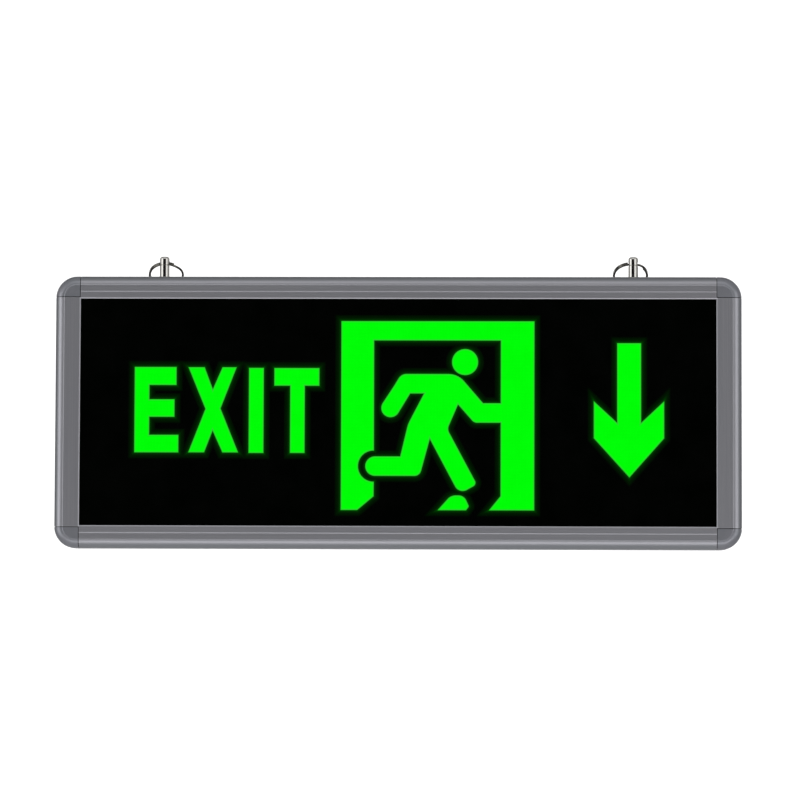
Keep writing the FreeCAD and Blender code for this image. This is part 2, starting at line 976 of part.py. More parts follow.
save(test_button(), "test_button")
save(test_switch(), "test_switch")
save(side_board(), "side_board")
for lamp, height in lamp_heights.items():
    save(indicator_lamp(height), lamp)

save(battery_pack(), "battery_pack")
save(battery_holder(), "battery_holder")
save(driver_board(), "driver_board")
save(insulator(), "board_insulator")
save(board_screws(), "board_screws")
save(board_nuts(), "board_nuts")
save(mains_terminal(), "mains_terminal")
save(fuse(), "fuse")
save(transformer_core(), "transformer_core")
save(transformer_coil(), "transformer_coil")
save(storage_capacitors(), "storage_capacitors")
save(mains_capacitor(), "mains_capacitor")
save(battery_socket(), "battery_socket")
save(controller_chip(), "controller_chip")
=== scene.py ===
import math

import bpy
import numpy as np
from mathutils import Euler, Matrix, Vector


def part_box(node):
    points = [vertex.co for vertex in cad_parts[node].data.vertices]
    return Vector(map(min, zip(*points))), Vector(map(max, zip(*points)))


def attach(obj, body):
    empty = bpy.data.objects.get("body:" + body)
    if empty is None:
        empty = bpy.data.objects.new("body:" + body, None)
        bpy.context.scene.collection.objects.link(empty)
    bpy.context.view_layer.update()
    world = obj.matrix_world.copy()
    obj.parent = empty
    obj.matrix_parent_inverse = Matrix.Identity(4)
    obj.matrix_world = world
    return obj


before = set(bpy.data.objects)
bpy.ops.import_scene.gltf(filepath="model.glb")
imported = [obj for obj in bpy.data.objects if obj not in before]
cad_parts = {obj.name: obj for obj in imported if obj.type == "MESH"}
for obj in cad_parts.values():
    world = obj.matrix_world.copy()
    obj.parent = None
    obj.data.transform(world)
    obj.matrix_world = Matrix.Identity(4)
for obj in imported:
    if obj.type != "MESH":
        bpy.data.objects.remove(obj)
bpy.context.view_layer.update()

mm = 0.001                              # the scene is in metres, the shop drawing in millimetres
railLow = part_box("frame_bottom")[0]     # the corners of the box round the top and bottom lengths
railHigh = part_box("frame_top")[1]
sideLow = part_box("frame_left")[0]       # and round the left and right ones
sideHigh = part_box("frame_right")[1]
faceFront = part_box("face_panel")[0].y   # the printed side of the face
signFoot = railLow.z                    # legend heights are measured up from the sign's bottom edge
signLow = Vector((sideLow.x, sideLow.y, railLow.z))
signHigh = Vector((sideHigh.x, sideHigh.y, railHigh.z))
railWidth = (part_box("frame_bottom")[1].z - railLow.z) / mm
sideWidth = (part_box("frame_left")[1].x - sideLow.x) / mm
signMiddle = Vector((0, 0, (railLow.z + railHigh.z) / 2))


# One sRGB hex colour as linear RGBA: c/12.92 below 0.04045, else ((c + 0.055)/1.055)^2.4
def linear(hexColor):
    parts = np.array([int(hexColor[i:i + 2], 16) for i in (1, 3, 5)]) / 255
    flat = np.where(parts <= 0.04045, parts / 12.92, ((parts + 0.055) / 1.055) ** 2.4)
    return (*flat.tolist(), 1.0)


# Adds one node with its settings, then its inputs: each is a value, or the (node, output) that feeds it. The
# sockets of a Mix node share their names, so they go by number: 0 is the factor, 6 and 7 are the colours and
# 2 is the mixed colour, or for plain values 2 and 3, and 0 is the mixed value.
def addNode(tree, kind, settings=None, inputs=None):
    node = tree.nodes.new("ShaderNode" + kind)
    for name, value in (settings or {}).items():
        setattr(node, name, value)
    for name, value in (inputs or {}).items():
        if isinstance(value, tuple) and isinstance(value[0], bpy.types.Node):
            tree.links.new(value[0].outputs[value[1]], node.inputs[name])
        else:
            node.inputs[name].default_value = value
    return node


noiseMiddle = (0.3, 0.7)                # where nearly all of a noise pattern's values lie


# A finish has a Principled shader and two noise patterns on Object coordinates, with their cells in mm (one
# size, or one for each axis): "cloud" drifts the colour between two tones, "grain" runs the roughness between
# two values and raises the surface by "relief" mm. Constants such as IOR are set on the shader's own sockets.
def makeFinish(name, look):
    material = bpy.data.materials.new(name)
    material.use_nodes = True
    tree = material.node_tree
    tree.nodes.clear()
    place = addNode(tree, "TexCoord")
    noise = {}
    for pattern in ("cloud", "grain"):
        cells = np.broadcast_to(look[pattern], 3) * mm
        space = addNode(tree, "Mapping", inputs={"Vector": (place, "Object"), "Scale": (1 / cells).tolist()})
        noise[pattern] = addNode(tree, "TexNoise", inputs={"Vector": (space, "Vector"), "Scale": 1.0})
    drift = addNode(tree, "MapRange", inputs={"Value": (noise["cloud"], "Fac"), "From Min": noiseMiddle[0],
                                              "From Max": noiseMiddle[1]})
    tone = addNode(tree, "Mix", {"data_type": "RGBA"},
                   {0: (drift, "Result"), 6: linear(look["tones"][0]), 7: linear(look["tones"][1])})
    gloss = addNode(tree, "MapRange", inputs={"Value": (noise["grain"], "Fac"), "To Min": look["rough"][0],
                                              "To Max": look["rough"][1]})
    relief = addNode(tree, "Bump", inputs={"Height": (noise["grain"], "Fac"),
                                           "Distance": look["relief"] * mm})
    shader = addNode(tree, "BsdfPrincipled", inputs={
        **look.get("sockets", {}), "Base Color": (tone, 2), "Roughness": (gloss, "Result"),
        "Normal": (relief, "Normal")})
    addNode(tree, "OutputMaterial", inputs={"Surface": (shader, "BSDF")})
    return material, tree, {"shader": shader, "tone": tone, "place": place}


# Bands of painted highlight and painted shade that run along the outside of the frame, laid over the base
# colour one after another. Each has the axis that it is measured on and its distance in mm in from the end of
# the frame on that axis; low and high are the two ends. Its colour is full within (half - soft) of that line
# and gone beyond half.
def layBands(tree, parts, bands, low, high):
    where = addNode(tree, "SeparateXYZ", inputs={"Vector": (parts["place"], "Object")})
    colour = (parts["tone"], 2)
    for axis, distance, band in bands:
        middle = (low[axis] + high[axis]) / 2
        line = (high[axis] - low[axis]) / 2 - distance * mm
        offset = addNode(tree, "Math", {"operation": "SUBTRACT"}, {0: (where, "XYZ"[axis]), 1: middle})
        outwards = addNode(tree, "Math", {"operation": "ABSOLUTE"}, {0: (offset, "Value")})
        off = addNode(tree, "Math", {"operation": "SUBTRACT"}, {0: (outwards, "Value"), 1: line})
        far = addNode(tree, "Math", {"operation": "ABSOLUTE"}, {0: (off, "Value")})
        share = addNode(tree, "MapRange", inputs={"Value": (far, "Value"), "From Min": band["half"] * mm,
                                                  "From Max": (band["half"] - band["soft"]) * mm})
        mixed = addNode(tree, "Mix", {"data_type": "RGBA"},
                        {0: (share, "Result"), 6: colour, 7: linear(band["colour"])})
        colour = (mixed, 2)
    tree.links.new(mixed.outputs[2], parts["shader"].inputs["Base Color"])


# Anodised aluminium, extruded and then satin etched: a grey metal with faint die lines along its length. The
# rolled outer edge, the lip, the raised bead and a thin line at each cut end carry painted highlights,
# lighter than the flat, and the outermost part of the roll is painted darker again as painted shade. The die
# lines are drawn 0.3 mm apart, coarser than the real ones, so that they show. Each band has half its width
# and its soft edge in mm, and its colour.
aluminium = {
    "tones": ("#98989E", "#A0A0A5"), "grain": 0.25, "rough": (0.35, 0.45), "relief": 0.003,
    "sockets": {"Metallic": 1.0},
    "dieLinesApart": 0.3, "dieLineLength": 90.0, "beadFromLip": 3.6,
    "bead": {"half": 0.3, "soft": 0.1, "colour": "#A6A6AC"},
    "rolledEdgeHighlight": {"half": 4.2, "soft": 0.2, "colour": "#A6A6AC"},
    "outermostShade": {"half": 2.9, "soft": 1.2, "colour": "#989A9F"},
    "lip": {"half": 0.5, "soft": 0.2, "colour": "#AEAEB4"},
    "cutEndHighlight": {"half": 0.22, "soft": 0.1, "colour": "#B4B4BA"},
}


def anodisedAluminium(name, alongAxis, low, high, width, beaded):
    cloud = [aluminium["dieLinesApart"]] * 3
    cloud[alongAxis] = aluminium["dieLineLength"]
    material, tree, parts = makeFinish(name, {**aluminium, "cloud": cloud})
    across = 2 - alongAxis
    # these bands are painted highlights, with painted shade on the outermost part of the roll
    bands = [(across, 0.0, aluminium["rolledEdgeHighlight"]), (across, 0.0, aluminium["outermostShade"]),
             (across, width, aluminium["lip"]), (alongAxis, 0.0, aluminium["cutEndHighlight"])]
    if beaded:
        bands.insert(0, (across, width - aluminium["beadFromLip"], aluminium["bead"]))
    layBands(tree, parts, bands, low, high)
    return material


# ABS, injection moulded and sprayed with a silver-grey paint to match the lengths: a soft sheen from the
# flakes in the paint over a fine sandy grain. The step where each length butts on is painted dark, as painted
# shade in the gap between the parts.
def silverPaintedAbs(name, low, high, width, height):
    look = {"tones": ("#86898F", "#8E8E95"), "cloud": 9.0, "grain": 0.35, "rough": (0.30, 0.39),
            "relief": 0.008, "sockets": {"Metallic": 0.7, "IOR": 1.53}}
    material, tree, parts = makeFinish(name, look)
    # a dark band in each joint: painted shade for the gap where each length butts on
    gapShade = {"wide": 0.35, "soft": 0.03, "colour": "#2B2C2F"}
    middle = gapShade["wide"] / 2
    gapShade["half"] = middle + gapShade["soft"]
    layBands(tree, parts, [(0, width - middle, gapShade), (2, height - middle, gapShade)], low, high)
    return material


litGreen = "#00FF00"                    # the light that the print lets through


# Acrylic, cast and printed black on its back: a deep glossy black. Light that creeps sideways through the
# sheet fades out over a few millimetres round each lit window, which the glow pieces carry as "edgeGlow".
def printedAcrylic(name, glowing):
    look = {"tones": ("#010201", "#030403"), "cloud": 14.0, "grain": 60.0, "rough": (0.03, 0.08),
            "relief": 0.02, "sockets": {"IOR": 1.49, "Specular IOR Level": 0.35}}
    if glowing:
        look["sockets"]["Emission Color"] = linear(litGreen)
    material, tree, parts = makeFinish(name, look)
    if glowing:
        edge = addNode(tree, "Attribute", {"attribute_name": "edgeGlow"})
        tree.links.new(edge.outputs["Fac"], parts["shader"].inputs["Emission Strength"])
    return material


# Clear acrylic window over a green film, lit from behind: an even saturated green, a little uneven where the
# printed dots of the light guide show through. Towards the print's edge "edgeGlow" falls from "full" to
# "pale" and below, and the light is softer there, and paler because the edge scatters it.
def litWindow(name):
    dots = {"pitch": 1.6, "bright": 1.05, "dim": 0.99}
    rim = {"colour": "#45FF45", "pale": 0.4, "full": 0.9}
    look = {"tones": ("#003C06", "#004A08"), "cloud": 6.0, "grain": 60.0, "rough": (0.08, 0.14),
            "relief": 0.02, "sockets": {"IOR": 1.49, "Specular IOR Level": 0.35}}
    material, tree, parts = makeFinish(name, look)
    space = addNode(tree, "Mapping", inputs={"Vector": (parts["place"], "Object"),
                                             "Scale": [1 / (dots["pitch"] * mm)] * 3})
    spots = addNode(tree, "TexVoronoi", inputs={"Vector": (space, "Vector"), "Scale": 1.0, "Randomness": 0.2})
    level = addNode(tree, "MapRange", inputs={"Value": (spots, "Distance"), "To Min": dots["bright"],
                                              "To Max": dots["dim"]})
    edge = addNode(tree, "Attribute", {"attribute_name": "edgeGlow"})
    light = addNode(tree, "Math", {"operation": "MULTIPLY"}, {0: (level, "Result"), 1: (edge, "Fac")})
    tree.links.new(light.outputs["Value"], parts["shader"].inputs["Emission Strength"])
    inwards = addNode(tree, "MapRange", inputs={"Value": (edge, "Fac"), "From Min": rim["pale"],
                                                "From Max": rim["full"]})
    hue = addNode(tree, "Mix", {"data_type": "RGBA"},
                  {0: (inwards, "Result"), 6: linear(rim["colour"]), 7: linear(litGreen)})
    tree.links.new(hue.outputs[2], parts["shader"].inputs["Emission Color"])
    return material


# Glass-fibre circuit board under green solder mask: the weave, 0.5 mm apart, shows faintly through the mask.
def circuitBoard(name):
    threadsApart = 0.5 * mm
    waveWidth = 0.31            # one wave of the wave texture at scale 1, which is 2*pi/20
    look = {"tones": ("#0E5A2C", "#15713A"), "cloud": 5.0, "grain": 0.5, "rough": (0.28, 0.4), "relief": 0.01,
            "sockets": {"IOR": 1.5}}
    material, tree, parts = makeFinish(name, look)
    threads = []
    for direction in ("X", "Z"):
        threads.append(addNode(tree, "TexWave", {"bands_direction": direction},
                               {"Vector": (parts["place"], "Object"), "Scale": waveWidth / threadsApart,
                                "Distortion": 0.6}))
    weave = addNode(tree, "Math", {"operation": "MULTIPLY"}, {0: (threads[0], "Fac"), 1: (threads[1], "Fac")})
    tree.links.new(weave.outputs["Value"], parts["tone"].inputs[0])
    return material


# The plainer finishes: what each is, how it is made, and what that gives the eye.
metal = {"Metallic": 1.0}
finishes = {
    # Nickel plate over turned brass: mirror bright, with faint rings left by the tool
    "nickel_plate_turned": {
        "tones": ("#C9C7C2", "#D6D4CF"), "cloud": (40.0, 40.0, 0.12), "grain": (40.0, 40.0, 0.12),
        "rough": (0.06, 0.14), "relief": 0.002, "sockets": metal},
    # Nickel plate over drawn spring wire, very slightly uneven where the wire was flattened; its tones are
    # set far darker than bright nickel, as painted shade
    "nickel_plate_drawn": {
        "tones": ("#615F5A", "#73716B"), "cloud": 2.5, "grain": 0.8, "rough": (0.08, 0.16), "relief": 0.002,
        "sockets": metal},
    # Zinc plate, passivated in a barrel: a cool grey that is half dull
    "zinc_plate": {
        "tones": ("#AEB3BA", "#BEC2C8"), "cloud": 1.2, "grain": 0.3, "rough": (0.22, 0.34), "relief": 0.003,
        "sockets": metal},
    # Shrink sleeve over the steel cans of the cells: printed green film drawn tight, softly glossy
    "green_shrink_sleeve": {
        "tones": ("#2F7A44", "#37864C"), "cloud": 12.0, "grain": 4.0, "rough": (0.22, 0.32), "relief": 0.02,
        "sockets": {"IOR": 1.5}},
    # Polycarbonate, moulded in a plain tool: milky white with a faint grain
    "white_polycarbonate": {
        "tones": ("#E0E0DB", "#E9E9E4"), "cloud": 9.0, "grain": 0.35, "rough": (0.38, 0.5), "relief": 0.008,
        "sockets": {"IOR": 1.58}},
    # Nylon, moulded black: a dull charcoal with a fine grain
    "black_nylon": {
        "tones": ("#1C1C20", "#26262A"), "cloud": 9.0, "grain": 0.35, "rough": (0.42, 0.55), "relief": 0.012,
        "sockets": {"IOR": 1.53}},
    # Nitrile rubber, compression moulded: matt black, faintly bloomed
    "black_rubber": {
        "tones": ("#18181A", "#242427"), "cloud": 3.0, "grain": 0.5, "rough": (0.6, 0.75), "relief": 0.012,
        "sockets": {"IOR": 1.52}},
    # Polyester film filled with white: flat and matt, so that it throws the light forward
    "white_reflector_film": {
        "tones": ("#EAEAE6", "#F2F2EE"), "cloud": 18.0, "grain": 0.6, "rough": (0.5, 0.6), "relief": 0.004,
        "sockets": {"IOR": 1.58}},
    # Pressed fibre sheet: a matt grey-buff with short fibres in it
    "grey_fibre_sheet": {
        "tones": ("#9A988F", "#A9A79E"), "cloud": (4.0, 4.0, 1.0), "grain": 0.8, "rough": (0.7, 0.85),
        "relief": 0.02, "sockets": {"IOR": 1.5}},
    # Sintered ferrite, ground on its faces: a dark iron grey with a stony grain
    "ferrite": {
        "tones": ("#2E2F33", "#3A3B3F"), "cloud": 1.5, "grain": 0.3, "rough": (0.5, 0.65), "relief": 0.012,
        "sockets": {"IOR": 1.6}},
    # Polyester tape wound over the coil: glossy yellow, slightly wrinkled
    "yellow_polyester_tape": {
        "tones": ("#D8B22E", "#E6C23A"), "cloud": 3.0, "grain": 1.5, "rough": (0.15, 0.25), "relief": 0.02,
        "sockets": {"IOR": 1.58}},
    # Vinyl sleeve shrunk on the capacitor cans: glossy blue-black
    "black_capacitor_sleeve": {
        "tones": ("#1A1B20", "#23252B"), "cloud": 3.0, "grain": 2.0, "rough": (0.12, 0.2), "relief": 0.01,
        "sockets": {"IOR": 1.53}},
    # Moulded case of a film capacitor: glossy ochre
    "ochre_capacitor_case": {
        "tones": ("#CB9818", "#D9A520"), "cloud": 3.0, "grain": 3.0, "rough": (0.12, 0.2), "relief": 0.01,
        "sockets": {"IOR": 1.53}},
    # Nylon of the screw terminal: half glossy green
    "green_terminal_nylon": {
        "tones": ("#25774A", "#2E8B57"), "cloud": 3.0, "grain": 2.0, "rough": (0.25, 0.35), "relief": 0.01,
        "sockets": {"IOR": 1.53}},
    # ABS moulded in a polished tool: a clear glossy red with a slight sink here and there
    "red_gloss_abs": {
        "tones": ("#A60F15", "#B8141A"), "cloud": 3.0, "grain": 3.0, "rough": (0.12, 0.2), "relief": 0.01,
        "sockets": {"IOR": 1.53}},
    # Silicone over the light strip's chips, filled with phosphor: a creamy yellow, softly glossy
    "phosphor_silicone": {
        "tones": ("#ECE8C8", "#F4F1D6"), "cloud": 1.0, "grain": 0.8, "rough": (0.2, 0.3), "relief": 0.008,
        "sockets": {"IOR": 1.41}},
    # Acrylic, cast and polished: clear, with a faint haze
    "clear_acrylic": {
        "tones": ("#F2F6F6", "#F7FAFA"), "cloud": 30.0, "grain": 20.0, "rough": (0.03, 0.08), "relief": 0.01,
        "sockets": {"IOR": 1.49, "Transmission Weight": 0.9}},
    # Polyester film dyed through: a saturated green that lets some light by
    "green_polyester_film": {
        "tones": ("#0FAE33", "#12C03A"), "cloud": 25.0, "grain": 20.0, "rough": (0.1, 0.18), "relief": 0.01,
        "sockets": {"IOR": 1.58, "Transmission Weight": 0.3}},
    # Soda glass, drawn as a tube for the fuse: clear and smooth
    "fuse_glass": {
        "tones": ("#EDF2F2", "#F4F7F7"), "cloud": 5.0, "grain": 5.0, "rough": (0.02, 0.05), "relief": 0.004,
        "sockets": {"IOR": 1.52, "Transmission Weight": 0.9}},
    # Tinted polycarbonate lenses, moulded in polished tools: clear gloss over a deep colour
    "green_lens": {
        "tones": ("#178A34", "#1E9E3E"), "cloud": 2.0, "grain": 2.0, "rough": (0.06, 0.12), "relief": 0.004,
        "sockets": {"IOR": 1.58, "Transmission Weight": 0.25}},
    "yellow_lens": {
        "tones": ("#D2A316", "#E0B01E"), "cloud": 2.0, "grain": 2.0, "rough": (0.06, 0.12), "relief": 0.004,
        "sockets": {"IOR": 1.58, "Transmission Weight": 0.25}},
    "red_lens": {
        "tones": ("#B21A16", "#C4211C"), "cloud": 2.0, "grain": 2.0, "rough": (0.06, 0.12), "relief": 0.004,
        "sockets": {"IOR": 1.58, "Transmission Weight": 0.25}},
    # Powder coat, sprayed and baked on sheet steel: an even warm white with a fine orange peel
    "white_powder_coat": {
        "tones": ("#E2E2DD", "#E6E6E1"), "cloud": 25.0, "grain": 1.1, "rough": (0.34, 0.46), "relief": 0.02,
        "sockets": {"IOR": 1.5}},
}
materials = {name: makeFinish(name, look)[0] for name, look in finishes.items()}
materials.update({
    "aluminium_across": anodisedAluminium(
        "anodised_aluminium_across", 0, railLow, railHigh, railWidth, beaded=True),
    "aluminium_upright": anodisedAluminium(
        "anodised_aluminium_upright", 2, sideLow, sideHigh, sideWidth, beaded=False),
    "silver_painted_abs": silverPaintedAbs(
        "silver_painted_abs", signLow, signHigh, (signHigh.x - railHigh.x) / mm,
        (signHigh.z - sideHigh.z) / mm),
    "face_print": printedAcrylic("black_printed_acrylic", glowing=False),
    "window_margin": printedAcrylic("lit_print_margin", glowing=True),
    "window": litWindow("lit_green_window"),
    "circuit_board": circuitBoard("green_solder_mask"),
})
finishOf = {
    "aluminium_across": ("frame_top", "frame_bottom"),
    "aluminium_upright": ("frame_left", "frame_right"),
    "silver_painted_abs": ("corner_cap_top_left", "corner_cap_top_right", "corner_cap_bottom_left",
                           "corner_cap_bottom_right"),
    "face_print": ("face_panel",),
    "white_powder_coat": ("rear_cover",),
    "green_polyester_film": ("green_filter",),
    "clear_acrylic": ("light_guide",),
    "white_reflector_film": ("reflector_sheet",),
    "white_polycarbonate": ("light_strip", "battery_socket"),
    "phosphor_silicone": ("strip_lights",),
    "black_rubber": ("cable_grommet",),
    "green_shrink_sleeve": ("battery_pack",),
    "black_nylon": ("battery_holder", "controller_chip", "test_switch"),
    "circuit_board": ("driver_board", "side_board"),
    "grey_fibre_sheet": ("board_insulator",),
    "green_terminal_nylon": ("mains_terminal",),
    "fuse_glass": ("fuse",),
    "ferrite": ("transformer_core",),
    "yellow_polyester_tape": ("transformer_coil",),
    "black_capacitor_sleeve": ("storage_capacitors",),
    "ochre_capacitor_case": ("mains_capacitor",),
    "red_gloss_abs": ("test_button",),
    "green_lens": ("indicator_green",),
    "yellow_lens": ("indicator_yellow",),
    "red_lens": ("indicator_red",),
    "zinc_plate": ("corner_screws", "board_screws", "board_nuts", "pin_nuts"),
    "nickel_plate_turned": ("hanging_pin_left", "hanging_pin_right"),
    "nickel_plate_drawn": ("split_ring_left", "split_ring_right"),
}
for finishName, nodeNames in finishOf.items():
    for nodeName in nodeNames:
        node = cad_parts[nodeName]
        if not node.material_slots:
            node.data.materials.append(materials[finishName])
        for materialSlot in node.material_slots:
            materialSlot.material = materials[finishName]
print("finishes on", sum(len(names) for names in finishOf.values()), "of", len(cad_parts), "CAD pieces")


# Outline points in mm from (x, z) or (x, z, radius) corners. A rounded corner of turn a starts r*tan(a/2)
# before the corner and is the arc centre + r*(cos t, sin t) between its two tangent points.
def roundedOutline(corners, stepDegrees=6.0):
    points = []
    spots = np.array([c[:2] for c in corners], float)
    for i, corner in enumerate(corners):
        here = spots[i]
        radius = corner[2] if len(corner) > 2 else 0.0
        if not radius:
            points.append(here[None])
            continue
        into = here - spots[i - 1]
        away = spots[(i + 1) % len(spots)] - here
        into /= np.linalg.norm(into)
        away /= np.linalg.norm(away)
        side = np.sign(into[0] * away[1] - into[1] * away[0])
        turn = math.acos(float(np.clip(into @ away, -1, 1)))
        start = here - into * radius * math.tan(turn / 2)
        centre = start + side * radius * np.array([-into[1], into[0]])
        first = math.atan2(*(start - centre)[::-1])
        angles = first + side * np.linspace(0, turn, max(3, int(math.degrees(turn) / stepDegrees)))
        points.append(centre + radius * np.c_[np.cos(angles), np.sin(angles)])
    return np.vstack(points)


# Points of an arc, centre + r*(cos t, sin t), from one angle to another in degrees.
def arc(x, z, radius, start, end, count=19):
    t = np.radians(np.linspace(start, end, count))
    return np.c_[x + radius * np.cos(t), z + radius * np.sin(t)]


# The outline turned to run anticlockwise as the reader sees it, by the sign of its area, the sum of
# x1*z2 - x2*z1, so that a face over it points at the reader.
def anticlockwise(outline):
    after = np.roll(outline, -1, axis=0)
    area = np.sum(outline[:, 0] * after[:, 1] - after[:, 0] * outline[:, 1])
    return outline if area > 0 else outline[::-1]


# The outline pushed outwards by a distance in mm along each corner's mitre, (n1 + n2)/(1 + n1.n2).
def pushed(outline, distance):
    edge = np.roll(outline, -1, axis=0) - outline
    edge /= np.linalg.norm(edge, axis=1)[:, None]
    normal = np.c_[edge[:, 1], -edge[:, 0]]
    before = np.roll(normal, 1, axis=0)
    return outline + distance * (normal + before) / (1 + np.sum(normal * before, axis=1))[:, None]


# A piece of the printed face: closed rings of points, each pushed out from the outline by "push" and standing
# "proud" of the face, joined by strips of quads, with the glow that each ring has. The last ring is joined to
# the first, or both are closed over.
def addPrint(name, outline, rings, material, joined):
    count = len(outline)
    points = []
    for push, proud, _ in rings:
        flat = pushed(outline, push)
        height = np.full(count, faceFront - proud * mm)
        points.append(np.c_[flat[:, 0] * mm, height, signFoot + flat[:, 1] * mm])
    here = np.arange(len(rings) * count).reshape(-1, count)
    further = np.roll(here, -1, axis=0)
    strips = slice(None) if joined else slice(len(rings) - 1)
    quads = [here, further, np.roll(further, -1, axis=1), np.roll(here, -1, axis=1)]
    faces = np.stack(quads, axis=-1)[strips].reshape(-1, 4).tolist()
    if not joined:
        faces += [here[0].tolist(), here[-1][::-1].tolist()]
    mesh = bpy.data.meshes.new(name)
    mesh.from_pydata(np.vstack(points).tolist(), [], faces)
    mesh.materials.append(material)
    glow = np.repeat([level for _, _, level in rings], count).astype(np.float32)
    mesh.attributes.new("edgeGlow", "FLOAT", "POINT").data.foreach_set("value", glow)
    mesh.update()
    piece = bpy.data.objects.new(name, mesh)
    bpy.context.scene.collection.objects.link(piece)
    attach(piece, "housing")


# The lit shapes, in mm from the sign's middle and up from its foot: plain block letters, a running figure in
# a doorway and an arrow, the common emergency exit symbols.
legend = {
    "letter_e": np.array([
        (-134.3, 92.6), (-134.3, 48.7), (-111.5, 48.7), (-111.5, 57.95), (-126.45, 57.95), (-126.45, 66.85),
        (-113.6, 66.85), (-113.6, 76.1), (-126.45, 76.1), (-126.45, 83.1), (-112.65, 83.1), (-112.65, 92.6)]),
    "letter_x": np.array([
        (-106.9, 92.5), (-98.1, 71.1), (-106.8, 48.75), (-98.4, 48.75), (-94.2, 59.65), (-89.25, 48.75),
        (-80.95, 48.75), (-90.1, 71.3), (-81.9, 92.5), (-89.4, 92.5), (-94.2, 81.5), (-98.35, 92.5)]),
    "letter_i": np.array([(-75.95, 92.2), (-75.95, 48.5), (-68.1, 48.5), (-68.1, 92.2)]),
    "letter_t": np.array([
        (-63.0, 92.15), (-63.0, 82.85), (-54.9, 82.85), (-54.9, 48.55), (-47.15, 48.55), (-47.15, 82.85),
        (-39.75, 82.85), (-39.75, 92.15)]),
    "figure_head": arc(34.3, 95.2, 6.8, 0, 352.5, 48),
    "figure_foot": roundedOutline([
        (20.2, 19.6), (35.0, 19.6), (36.6, 21.7, 1.0), (34.0, 27.45, 4.5), (27.2, 27.45, 5.6)]),
    "arrow": np.array([
        (111.45, 105.1), (111.45, 64.7), (99.6, 75.7), (99.6, 56.5), (117.8, 36.4), (135.6, 56.5),
        (135.6, 75.7), (123.9, 64.7), (123.9, 105.1)]),
    "runner_in_doorway": np.vstack([
        [(-28.9, 116.2), (-28.9, 19.6), (-20.3, 19.6), (-11.9, 26.7)],
        arc(-12.1, 42.1, 7.8, -88, -272, 25),
        [(-11.9, 106.05), (52.3, 106.05)],
        roundedOutline([(52.3, 74.4), (43.55, 74.4), (30.7, 89.25, 10.4), (1.8, 89.25, 4.8), (-2.0, 82.99)]),
        arc(-3.6, 71.7, 4.85, 149, 329),
        roundedOutline([(6.5, 79.0), (13.2, 79.0), (5.2, 63.6, 14.0), (1.3, 47.2), (-5.0, 47.2)]),
        arc(-11.4, 42.1, 5.1, 90, 270),
        roundedOutline([
            (-5.0, 37.0), (11.45, 37.0, 3.7), (16.5, 55.6), (31.45, 27.7, 4.5), (40.6, 32.9, 2.2),
            (25.5, 61.0, 4.0), (30.8, 73.3), (38.9, 64.15, 3.5), (52.3, 64.15)]),
        [(52.3, 27.0), (46.3, 19.6), (69.7, 19.6), (69.7, 116.2)]]),
}
# Each ring of a window is (push outwards in mm, mm proud of the face, glow), and each step of the glow round
# it (push outwards, glow). That glow slopes down to the face as it fades, so where two meet the nearer shows:
# "thinnest" is how proud it is at its outer edge, "slope" how much more for each mm inwards from there, and
# "buried" how proud its underside is, which is within the face.
printing = {
    "window": [(-1.1, 0.04, 0.92), (-0.68, 0.04, 0.75), (-0.12, 0.04, 0.37), (-0.12, -0.02, 0.37)],
    "margin": [(-0.12, 0.095), (0.2, 0.05), (0.5, 0.027), (0.8, 0.019), (1.3, 0.009), (1.8, 0.007),
               (2.4, 0.0045), (3.0, 0.002)],
    "thinnest": 0.004, "slope": 0.004, "buried": -0.01,
}
for name, points in legend.items():
    outline = anticlockwise(points)
    addPrint(name, outline, printing["window"], materials["window"], joined=False)
    inner, outer = printing["margin"][0], printing["margin"][-1]
    margin = [(push, printing["thinnest"] + printing["slope"] * (outer[0] - push), glow)
              for push, glow in printing["margin"]]
    edges = [(push, printing["buried"], glow) for push, glow in (outer, inner)]
    addPrint(name + "_glow", outline, margin + edges, materials["window_margin"], joined=True)
print("legend of", len(legend), "lit windows")


studio = {
    "floorDrop": 1.3,                   # the sign hangs, so the floor is well below it
    "floorWhite": "#CDCDCD", "floorGlow": 0.85, "floorInMetal": 0.08,
    "depth": 3.0, "front": -4.0, "width": 9.0, "height": 5.0, "sweep": 0.8,
    "sweepRows": 16, "columns": 7,
    "lampWhite": "#FFFFFF",
    "fill": 0.55,                       # even light from all round
    "around": 0.42,                     # what metal sees of the room between the lamps
    # Where the room is dark in metal: "from" and "to" bound the direction's part towards the back, "middle"
    # and "reach" its part upwards, and "soft" is half the width of the edges
    "flags": {
        "ahead": {"from": -1.2, "to": -0.63, "middle": 0.01, "reach": 0.14, "soft": 0.02},
        "behind": {"from": 0.42, "to": 0.85, "middle": 0.08, "reach": 0.15, "soft": 0.04},
        "over": {"from": 0.34, "to": 0.90, "middle": 0.70, "reach": 0.20, "soft": 0.06},
    },
}


